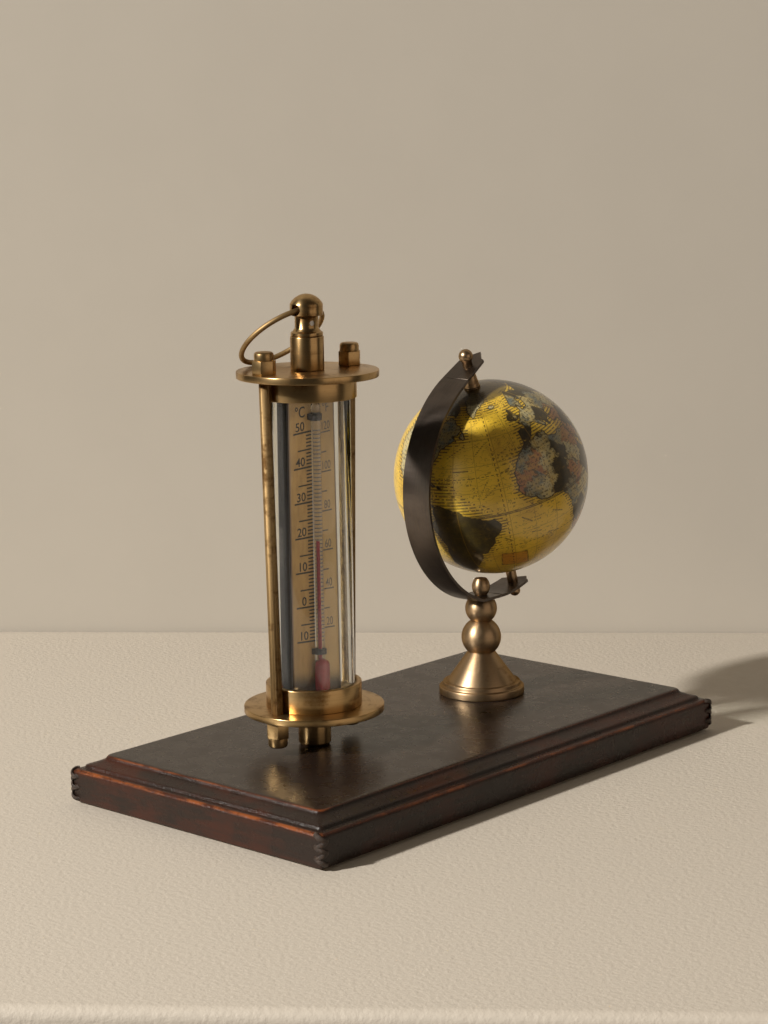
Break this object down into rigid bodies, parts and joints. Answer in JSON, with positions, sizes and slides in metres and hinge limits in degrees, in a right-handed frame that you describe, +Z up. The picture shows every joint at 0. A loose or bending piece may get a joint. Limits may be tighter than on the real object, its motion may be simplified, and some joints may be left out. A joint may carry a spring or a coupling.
{
  "type": "globe thermometer desk stand",
  "caption": "Desk ornament: a thermometer in a glazed brass lantern with a carrying ring and a small tilted globe that turns in a meridian strip, on a leather-covered board.",
  "frame": {"origin": "centre of the underside of the base, on the table", "axes": "+Z up, +X along the base from the thermometer to the globe, +Y to the back; the front long side faces -Y"},
  "size_m": [0.2286, 0.1266, 0.1825],
  "materials": {
    "board_wood": "bare wood",
    "dark_leather": "dark brown, waxed, rubbed red-brown on its edges",
    "thong_leather": "dark brown thong",
    "green_felt": "felt",
    "plain_steel": "turned",
    "aged_brass": "aged, brushed round the turned axis",
    "turned_brass": "satin, turned",
    "gasket_rubber": "matte",
    "clear_glass": "clear",
    "black_block": "matte black",
    "scale_face": "golden, with dark marks and plain numbers",
    "tube_glass": "clear",
    "spirit_red": "dyed liquid",
    "dark_bronze": "darkened, satin",
    "globe_shell": "pressed pulp",
    "map_paper": "printed map, varnished yellow ochre"
  },
  "bodies": {
    "stand": {"board_core": "board_wood", "leather_cover": "dark_leather", "corner_lacing": "thong_leather", "base_felt": "green_felt", "base_washers": "plain_steel", "lantern_screw": "plain_steel", "lantern_foot": "aged_brass", "lower_flange": "aged_brass", "lower_collar": "aged_brass", "lower_gasket": "gasket_rubber", "pillar_rods": "aged_brass", "upper_flange": "aged_brass", "upper_collar": "aged_brass", "upper_gasket": "gasket_rubber", "top_cap_nuts": "aged_brass", "bottom_cap_nuts": "aged_brass", "glass_cylinder": "clear_glass", "scale_block": "black_block", "scale_plate": "scale_face", "thermometer_tube": "tube_glass", "red_spirit": "spirit_red", "tube_clips": "dark_bronze", "finial_stud": "plain_steel", "finial_post": "aged_brass", "finial_knob": "aged_brass", "neck_set_screw": "plain_steel", "globe_foot": "turned_brass", "stem_cone": "turned_brass", "large_ball": "turned_brass", "small_ball": "turned_brass", "tie_rod": "plain_steel", "tie_rod_nut": "plain_steel", "meridian_nut": "turned_brass"},
    "ring": {"carry_ring": "aged_brass"},
    "meridian": {"meridian_arc": "dark_bronze", "globe_axle": "plain_steel", "upper_spacer": "turned_brass", "lower_spacer": "turned_brass", "upper_pivot_nut": "turned_brass", "lower_pivot_nut": "turned_brass"},
    "globe": {"pole_bushes": "turned_brass", "globe_north": "globe_shell", "globe_south": "globe_shell", "map_gores": "map_paper"}
  },
  "joints": [
    {"name": "ring_swing", "type": "hinge", "parent": "stand", "child": "ring", "pos_m": [-0.0452, 0.0046, 0.177], "axis": [1, 0, 0], "range_deg": [0, 259]},
    {"name": "meridian_swivel", "type": "hinge", "parent": "stand", "child": "meridian", "pos_m": [0.051, 0.0046, 0.05632], "axis": [0, 0, 1], "continuous": true},
    {"name": "globe_spin", "type": "hinge", "parent": "meridian", "child": "globe", "pos_m": [0.05792, 0.00487, 0.10305], "axis": [-0.3021, -0.0116, 0.9532], "continuous": true}
  ]
}
